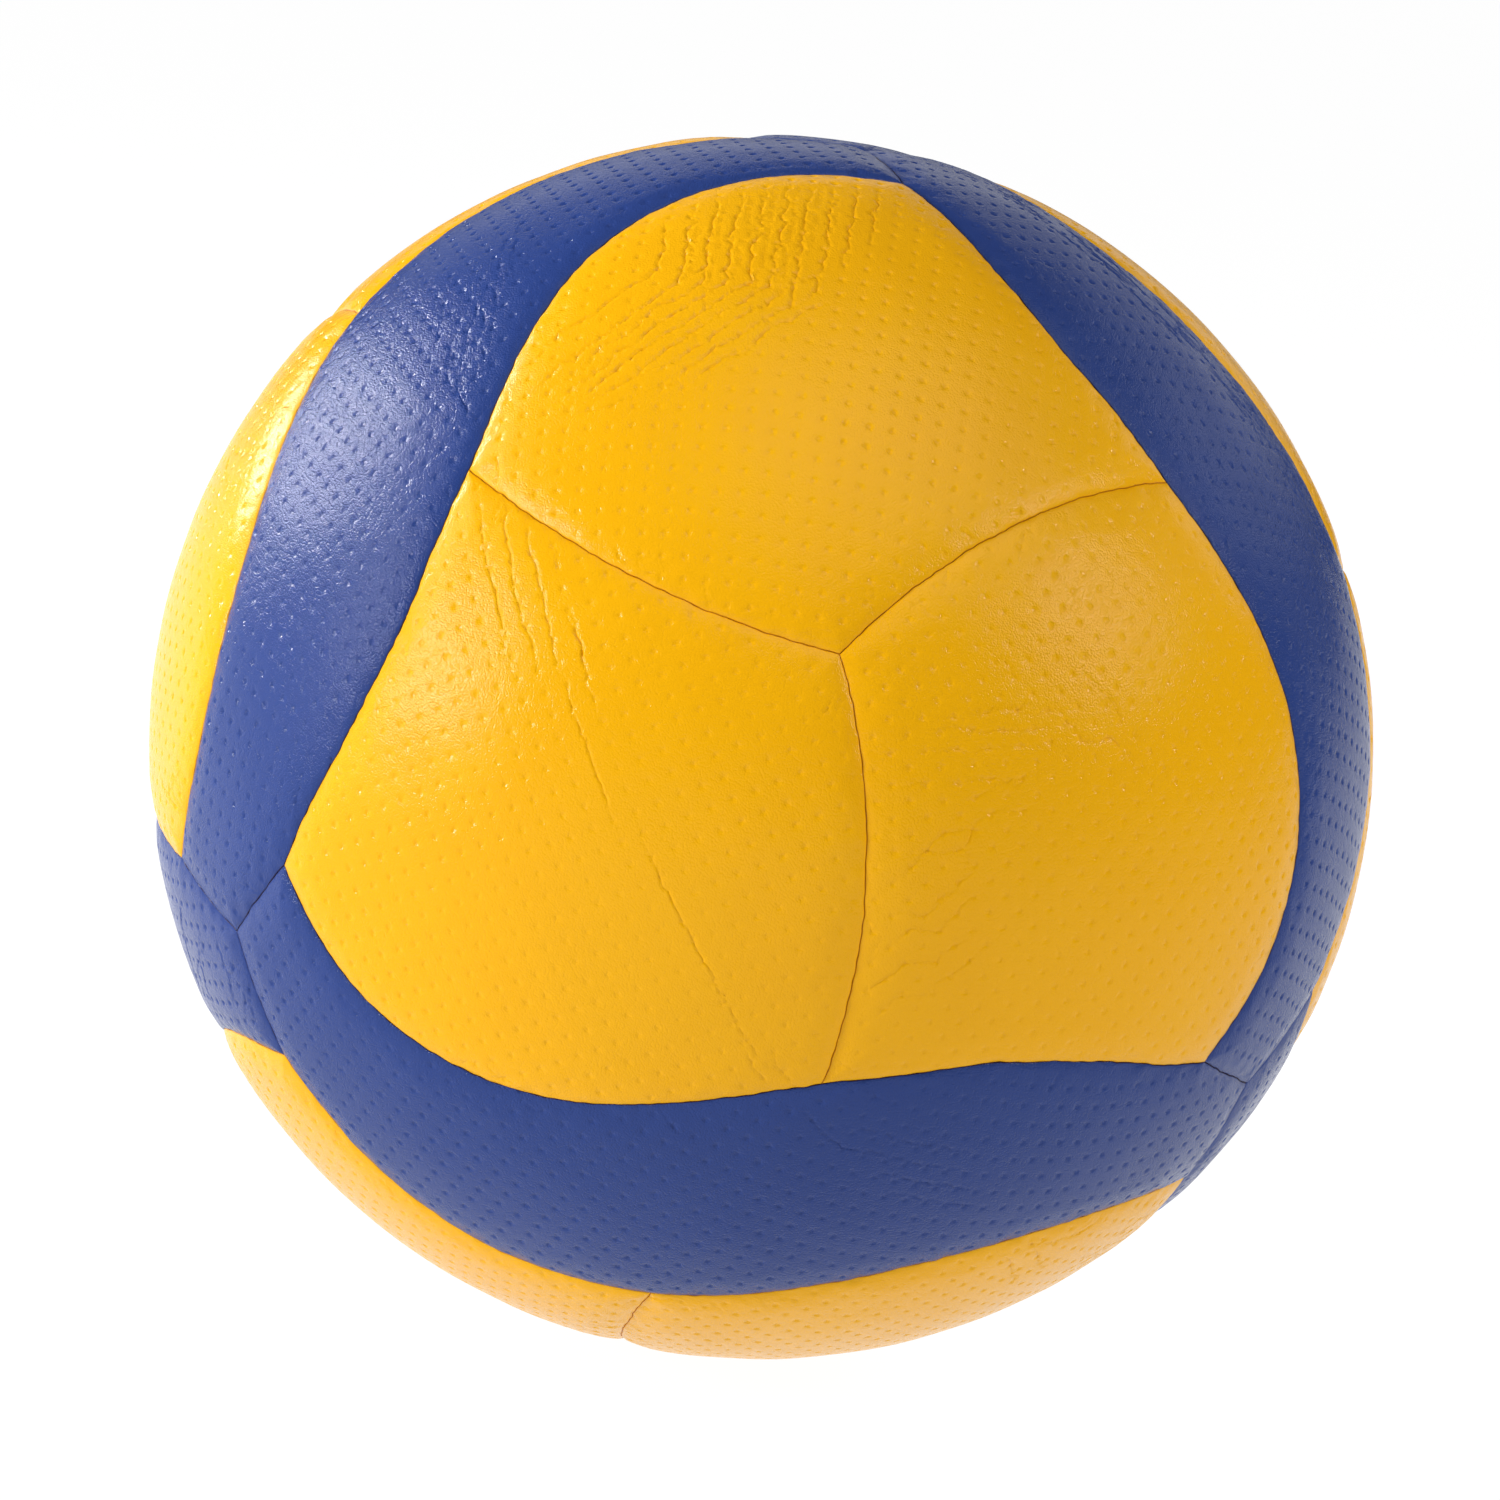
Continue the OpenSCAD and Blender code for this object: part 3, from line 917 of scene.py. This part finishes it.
# %% Writing a finish as arithmetic
class Value:
    """A number, colour or direction that changes over a surface."""

    def __init__(self, finish, socket):
        self.finish, self.socket = finish, socket

    def math(self, operation, first, second):
        return self.finish.node("Math", {"operation": operation}, {0: first, 1: second})

    def __add__(self, other):
        return self.math("ADD", self, other)

    def __mul__(self, other):
        return self.math("MULTIPLY", self, other)

    def __sub__(self, other):
        return self.math("SUBTRACT", self, other)

    def __rsub__(self, other):
        return self.math("SUBTRACT", other, self)

    __radd__ = __add__
    __rmul__ = __mul__


class Finish:
    """One material, whose nodes are added as they are needed."""

    def __init__(self, name):
        self.material = bpy.data.materials.new(name)
        self.material.use_nodes = True
        self.tree = self.material.node_tree
        self.shader = self.tree.nodes["Principled BSDF"]

    def feed(self, socket, value):
        if isinstance(value, Value):
            self.tree.links.new(value.socket, socket)
        elif isinstance(value, tuple) and len(value) < len(socket.default_value):
            socket.default_value = (*value, 1)
        else:
            socket.default_value = value

    def node(self, kind, settings=None, sockets=None, output=0):
        made = self.tree.nodes.new("ShaderNode" + kind)
        for name, value in (settings or {}).items():
            setattr(made, name, value)
        for name, value in (sockets or {}).items():
            self.feed(made.inputs[name], value)
        return Value(self, made.outputs[output])

    def skin(self, **sockets):
        """Feed the shader's own sockets."""
        for name, value in sockets.items():
            self.feed(self.shader.inputs[name.replace("_", " ")], value)
        return self.material


print("finishes are written as arithmetic on", Value.__name__)

# %% [markdown]
# The same few patterns make every finish here: noise for what is uneven, rounded cells for the
# pebbles of leather and foam, and a measure stored with the mesh for what follows its edges. Sizes
# are given in millimetres, because that is how a grain is judged.


# %% Patterns for the finishes
def place_of(finish):
    """The place on the object in metres."""
    return finish.node("TexCoord", output="Object")


def noise(finish, size, detail=2.0, roughness=0.5):
    """Soft noise from 0 to 1 whose patches are about a size in mm."""
    sockets = {"Vector": place_of(finish), "Scale": 1 / (size * MM), "Detail": detail,
               "Roughness": roughness}
    return finish.node("TexNoise", None, sockets, "Fac")


def pebbles(finish, size, evenness=0.9):
    """Distance from the middle of the nearest rounded cell, about 0 to 0.8."""
    sockets = {"Vector": place_of(finish), "Scale": 1 / (size * MM), "Randomness": evenness}
    return finish.node("TexVoronoi", {"feature": "F1"}, sockets, "Distance")


def stored(finish, name):
    """A measure that was stored with the mesh."""
    return finish.node("Attribute", {"attribute_name": name}, None, "Fac")


def between(finish, value, first, last):
    """0 at the first value, 1 at the last, and smooth between."""
    sockets = {"Value": value, "From Min": first, "From Max": last, "To Min": 0.0, "To Max": 1.0}
    return finish.node("MapRange", {"interpolation_type": "SMOOTHSTEP"}, sockets)


def blend(finish, share, first, second):
    """The first colour turning into the second as the share goes from 0 to 1."""
    settings = {"data_type": "RGBA", "clamp_factor": True}
    return finish.node("Mix", settings, {0: share, 6: first, 7: second}, 2)


def relief(finish, height, depth):
    """A bump whose height of 1 stands a depth in mm proud."""
    sockets = {"Strength": 1.0, "Distance": depth * MM, "Height": height}
    return finish.node("Bump", None, sockets)


print("patterns are sized in mm")

# %% [markdown]
# The cover is microfibre with a soft pebbled skin. Its colour drifts a little. Where a crease is
# pressed in, it is painted darker, as painted shade, and a thin strip along each seam's edge is
# painted in a deeper tone, as the painted shade of the seam line. The pebbles and the hair-fine
# folds between them are too small to model, so they are a bump.

# %% Leather of the cover
PEBBLE = 0.34
FINE_GRAIN = 0.13
CRINKLE = 2.6
CRINKLE_PUSH, CRINKLE_PUSH_SCALE = 0.0006, 900.0


def crinkles(finish):
    """Hair-fine folds in patches: 1 in a fold and 0 away from it."""
    wobble = {"Vector": place_of(finish), "Scale": CRINKLE_PUSH_SCALE}
    push = finish.node("TexNoise", None, wobble, "Color")
    settings, sockets = {"operation": "MULTIPLY_ADD"}, {0: push, 1: (CRINKLE_PUSH,) * 3}
    bent = finish.node("VectorMath", settings, {**sockets, 2: place_of(finish)})
    cells = {"Vector": bent, "Scale": 1 / (CRINKLE * MM)}
    fold = finish.node("TexVoronoi", {"feature": "DISTANCE_TO_EDGE"}, cells, "Distance")
    return (1 - between(finish, fold, 0.0, 0.07)) * between(finish, noise(finish, 14), 0.48, 0.62)


def leather(name, colour, deep, pressed, edge, roughness, pebble_height):
    """The cover's skin in one colour, with tones for unevenness and painted shade in creases and
    seams.
    """
    finish = Finish(name)
    drift = between(finish, noise(finish, 22, 3.0), 0.35, 0.7)
    tone = blend(finish, drift * 0.15, colour, deep)
    speck = between(finish, noise(finish, 0.9, 4.0, 0.7), 0.5, 0.8)
    tone = blend(finish, speck * 0.08, tone, deep)
    bend, fold = stored(finish, "bend"), crinkles(finish)
    # Painted shade: where the stored crease depth is large, the colour turns towards the pressed
    # colour.
    tone = blend(finish, between(finish, bend, 0.06, 0.26) * 0.35, tone, pressed)
    # Painted shade: a thin strip along the panel's edge turns to the edge colour, as the dark seam
    # line.
    seam = 1 - between(finish, stored(finish, "edge_mm"), 0.03, 0.18)
    tone = blend(finish, seam * 0.9, tone, edge)
    pebble = pebbles(finish, PEBBLE)
    grain = 1 - pebble * pebble + noise(finish, FINE_GRAIN, 2.0) * 0.12 - fold * 0.3
    gloss = roughness + noise(finish, 6, 3.0) * 0.04 + pebble * 0.05
    return finish.skin(
        Base_Color=tone,
        Roughness=gloss + seam * 0.15,
        Specular_IOR_Level=0.16,
        Normal=relief(finish, grain, pebble_height),
    )


# In each, the third colour is the painted shade in creases and the fourth the painted shade of
# seams.
cover_leather = {
    "yellow": leather("yellow_leather", (0.87, 0.428, 0.003), (0.82, 0.36, 0.002),
                      (0.62, 0.24, 0.002), (0.56, 0.19, 0.003), 0.15, 0.05),
    "blue": leather("blue_leather", (0.024, 0.052, 0.215), (0.019, 0.041, 0.175),
                    (0.015, 0.027, 0.11), (0.03, 0.008, 0.012), 0.13, 0.075),
}
print("leather finishes", list(cover_leather))

# %% [markdown]
# Now the flat sheets become panels. Each is lifted onto the ball, turned to its place, and given
# its height; its underside lies a cover's thickness lower, and a wall joins the two. A solidify
# modifier would thicken the sheet too, but it would copy every dimple to the underside. A modifier
# that weights the normals by face size keeps the rims of pits and creases crisp in the light.


# %% Panels
UNDER_DROP = 0.35
SHARP_ANGLE = 55
SHAPE_SEED, HEIGHT_SEED = 100, 200


def border_walls(borders, top_from, low_from):
    """Triangles of the wall between two copies of a sheet's borders."""
    walls = []
    for border in borders:
        a = np.array(border)
        b = np.roll(a, -1)
        walls.append(np.stack([a + top_from, a + low_from, b + low_from], -1))
        walls.append(np.stack([a + top_from, b + low_from, b + top_from], -1))
    return np.concatenate(walls)


def shell_mesh(name, points, triangles, material):
    """A mesh object from many points in mm and triangles, added in bulk."""
    mesh = bpy.data.meshes.new(name)
    mesh.vertices.add(len(points))
    mesh.vertices.foreach_set("co", (points * MM).astype(np.float32).ravel())
    mesh.loops.add(triangles.size)
    mesh.loops.foreach_set("vertex_index", triangles.astype(np.int32).ravel())
    mesh.polygons.add(len(triangles))
    mesh.polygons.foreach_set("loop_start", np.arange(0, triangles.size, 3, dtype=np.int32))
    mesh.update(calc_edges=True)
    mesh.validate()
    mesh.materials.append(material)
    mesh.polygons.foreach_set("use_smooth", np.ones(len(mesh.polygons), bool))
    mesh.set_sharp_from_angle(angle=math.radians(SHARP_ANGLE))
    thing = bpy.data.objects.new(name, mesh)
    thing.modifiers.new("crisp_rims", "WEIGHTED_NORMAL").keep_sharp = True
    link(thing)
    return thing


def store(thing, name, values):
    """Keep a measure of each point with the mesh, for its finish to read."""
    layer = thing.data.attributes.new(name, "FLOAT", "POINT")
    layer.data.foreach_set("value", np.asarray(values, np.float32))


def cover_panel(name, kind, place, number):
    """One cover panel, from its flat sheet."""
    sheet = sheets["valve" if name == VALVE_BAND else kind]
    shift, rng = DIMPLE_SHIFT[kind], np.random.default_rng(SHAPE_SEED + number)
    creases = [(depth, crinkled(route, shift, rng))
               for depth, route in creases_of(name, kind, place, number)]
    flat = sheet["top"]
    for _, route in creases:
        flat = drawn_to(flat, route, shift)
    flat[:sheet["border_n"]] = sheet["top"][:sheet["border_n"]]
    top = wander(lift(kind, flat) @ place.T)
    low = wander(lift(kind, sheet["low"]) @ place.T)
    height, bends = cover_height(sheet, flat, top, creases, HEIGHT_SEED + number)
    under = np.full(len(low), BALL_R - COVER_T)
    under[:sheet["border_n"]] -= UNDER_DROP
    points = np.concatenate([top * (BALL_R + height)[:, None], low * under[:, None]])
    n = len(top)
    triangles = np.concatenate([
        sheet["top_tri"], sheet["low_tri"][:, ::-1] + n, border_walls(sheet["borders"], 0, n)])
    piece = shell_mesh("cover_" + name, points, triangles, cover_leather[kind])
    for measure, values in (("edge_mm", sheet["edge"]), ("bend", bends)):
        store(piece, measure, np.concatenate([values, np.zeros(len(low))]))
    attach(piece, "ball")
    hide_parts("panel_" + name)
    kind + "_cover"
    return piece


cover = {name: cover_panel(name, kind, place, number)
         for number, (name, (kind, place)) in enumerate(places.items())}
print("cover panels", len(cover), "triangles", sum(len(p.data.polygons) for p in cover.values()))

# %% [markdown]
# Under each cover panel lies a thin foam pad, cut to the same outline and a little smaller. The
# ball hides the pads, but they are what gives the cover its soft edges, so each one is a real pad
# with rounded shoulders and an open-celled foam finish. A cloth simulation would change nothing
# here, because the pads fill the narrow space between the cover and the carcass.

# %% Foam pads
PAD_R = 103.2
PAD_T = 2.4
PAD_STEP = 3.5
PAD_SHOULDER = ((0.4, 0.45), (0.8, 0.16), (1.6, 0.0))


def pad_sheet(kind, hole_r=0.0):
    """A pad's flat points, triangles and borders."""
    loop = outlines[kind]
    rings = [inset(loop, d)[::2] for d, _ in PAD_SHOULDER]
    fixed, borders = fixed_borders(rings[0], hole_r)
    reach = np.linalg.norm(loop, axis=1).max()
    inner = square_grid(np.arange(-reach, reach, PAD_STEP))
    inner = inner[edge_distance(inner, loop) > PAD_SHOULDER[-1][0] + PAD_STEP / 2]
    inner = inner[np.linalg.norm(inner, axis=1) > hole_r + PAD_STEP / 2 * (hole_r > 0)]
    flat, triangles = triangulated(np.concatenate([*fixed, *rings[1:], inner]), borders, hole_r)
    return {"kind": kind, "flat": flat, "tri": triangles, "borders": borders,
            "edge": edge_distance(flat, loop)}


def foam():
    """Open-celled foam, off-white and a little uneven."""
    finish = Finish("pad_foam")
    cell = pebbles(finish, 0.55, 1.0)
    tone = blend(finish, between(finish, noise(finish, 9), 0.35, 0.7), (0.78, 0.76, 0.70),
                 (0.66, 0.63, 0.55))
    tone = blend(finish, between(finish, cell, 0.35, 0.75) * 0.5, tone, (0.42, 0.39, 0.33))
    return finish.skin(Base_Color=tone, Roughness=noise(finish, 1.2) * 0.15 + 0.8,
                       Normal=relief(finish, cell, 0.12))


pad_foam = foam()
pad_sheets = {"yellow": pad_sheet("yellow"), "blue": pad_sheet("blue"),
              "valve": pad_sheet("blue", HOLE_R)}


def foam_pad(name, kind, place):
    """One pad, from its flat sheet."""
    sheet = pad_sheets["valve" if name == VALVE_BAND else kind]
    directions = wander(lift(kind, sheet["flat"]) @ place.T)
    shoulder = np.interp(sheet["edge"], *zip(*PAD_SHOULDER))[:, None]
    points = np.concatenate([directions * (PAD_R - shoulder),
                             directions * (PAD_R - PAD_T + shoulder)])
    n = len(directions)
    triangles = np.concatenate([sheet["tri"], sheet["tri"][:, ::-1] + n,
                                border_walls(sheet["borders"], 0, n)])
    piece = shell_mesh("foam_" + name, points, triangles, pad_foam)
    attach(piece, "ball")
    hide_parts("pad_" + name)
    return piece


pads = {name: foam_pad(name, kind, place) for name, (kind, place) in places.items()}
print("pads", len(pads), "points in a blue pad", 2 * len(pad_sheets["blue"]["flat"]))

# %% [markdown]
# Inside the carcass the bladder is wound with nylon thread, which keeps the ball from growing. Each
# pass of the thread is a loop round the whole ball at its own slant, and all of them stay clear of
# the valve. Curves with a round section show that better than a bumped shell, because the crossings
# are real.

# %% Thread winding
THREAD_PASSES = 150
THREAD_R = 0.17
THREAD_LOW, THREAD_HIGH = 98.6, 99.0
THREAD_POINTS = 60
VALVE_CLEAR = 0.06
valve_axis = places[VALVE_BAND][1] @ FLAT["blue"][0]


def nylon():
    """Off-white nylon thread with a fine twist."""
    finish = Finish("nylon_thread")
    twist = pebbles(finish, 0.16)
    tone = blend(finish, between(finish, noise(finish, 12), 0.3, 0.7), (0.80, 0.77, 0.66),
                 (0.70, 0.66, 0.53))
    return finish.skin(Base_Color=tone, Roughness=twist * 0.2 + 0.34,
                       Normal=relief(finish, twist, 0.05))


def thread_pass(curve, slant, radius):
    """One loop of thread round the ball, square to a slant."""
    side = unit(np.cross(slant, np.eye(3)[np.argmin(abs(slant))]))
    turn = steps(0, 2 * math.pi, THREAD_POINTS)[:, None]
    loop = (np.cos(turn) * side + np.sin(turn) * np.cross(slant, side)) * radius * MM
    spline = curve.splines.new("POLY")
    spline.points.add(THREAD_POINTS - 1)
    spline.points.foreach_set("co", np.column_stack([loop, np.ones(THREAD_POINTS)]).ravel())
    spline.use_cyclic_u = True


thread_curve = bpy.data.curves.new("thread_passes", "CURVE")
thread_curve.dimensions = "3D"
thread_curve.bevel_depth = THREAD_R * MM
thread_curve.bevel_resolution = 1
thread_curve.materials.append(nylon())
thread_rng = np.random.default_rng(7)
passes = 0
while passes < THREAD_PASSES:
    slant = unit(thread_rng.normal(size=3))
    if abs(slant @ valve_axis) > VALVE_CLEAR:
        thread_pass(thread_curve, slant, thread_rng.uniform(THREAD_LOW, THREAD_HIGH))
        passes += 1
thread = bpy.data.objects.new("wound_thread", thread_curve)
link(thread)
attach(thread, "ball")
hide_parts("thread_winding")
print("thread passes", passes, "valve faces", valve_axis.round(3))

# %% [markdown]
# The rubber pieces keep their exact shapes from the frame, because rubber parts from a mould are
# just that. What they lack is a surface: moulded rubber has a dull bloom, a fine stipple from its
# mould and specks of dust, so each gets those at its own strength.


# %% Rubber
def rubber(name, colour, bloom, roughness, stipple):
    """Moulded rubber: its colour, the paler bloom on it, its dullness and its stipple in mm."""
    finish = Finish(name)
    patch = between(finish, noise(finish, 4.5, 4.0, 0.6), 0.42, 0.75)
    dust = between(finish, noise(finish, 0.7, 3.0), 0.55, 0.8)
    tone = blend(finish, patch * 0.6 + dust * 0.25, colour, bloom)
    dots = pebbles(finish, stipple)
    return finish.skin(Base_Color=tone, Roughness=roughness + patch * 0.12 + dots * 0.06,
                       Specular_IOR_Level=0.4, Normal=relief(finish, dots, stipple / 5))


rubber_finishes = {
    "carcass": rubber("carcass_rubber", (0.030, 0.030, 0.032), (0.085, 0.082, 0.078), 0.62, 0.5),
    "bladder": rubber("bladder_rubber", (0.014, 0.014, 0.016), (0.050, 0.050, 0.052), 0.42, 0.8),
    "valve_seat": rubber("seat_rubber", (0.040, 0.038, 0.036), (0.090, 0.085, 0.078), 0.55, 0.3),
    "valve_core": rubber("core_rubber", (0.022, 0.022, 0.024), (0.060, 0.060, 0.060), 0.48, 0.25),
}
for node, finish in rubber_finishes.items():
    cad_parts[node].material_slots[0].material = finish
print("rubber pieces", list(rubber_finishes))
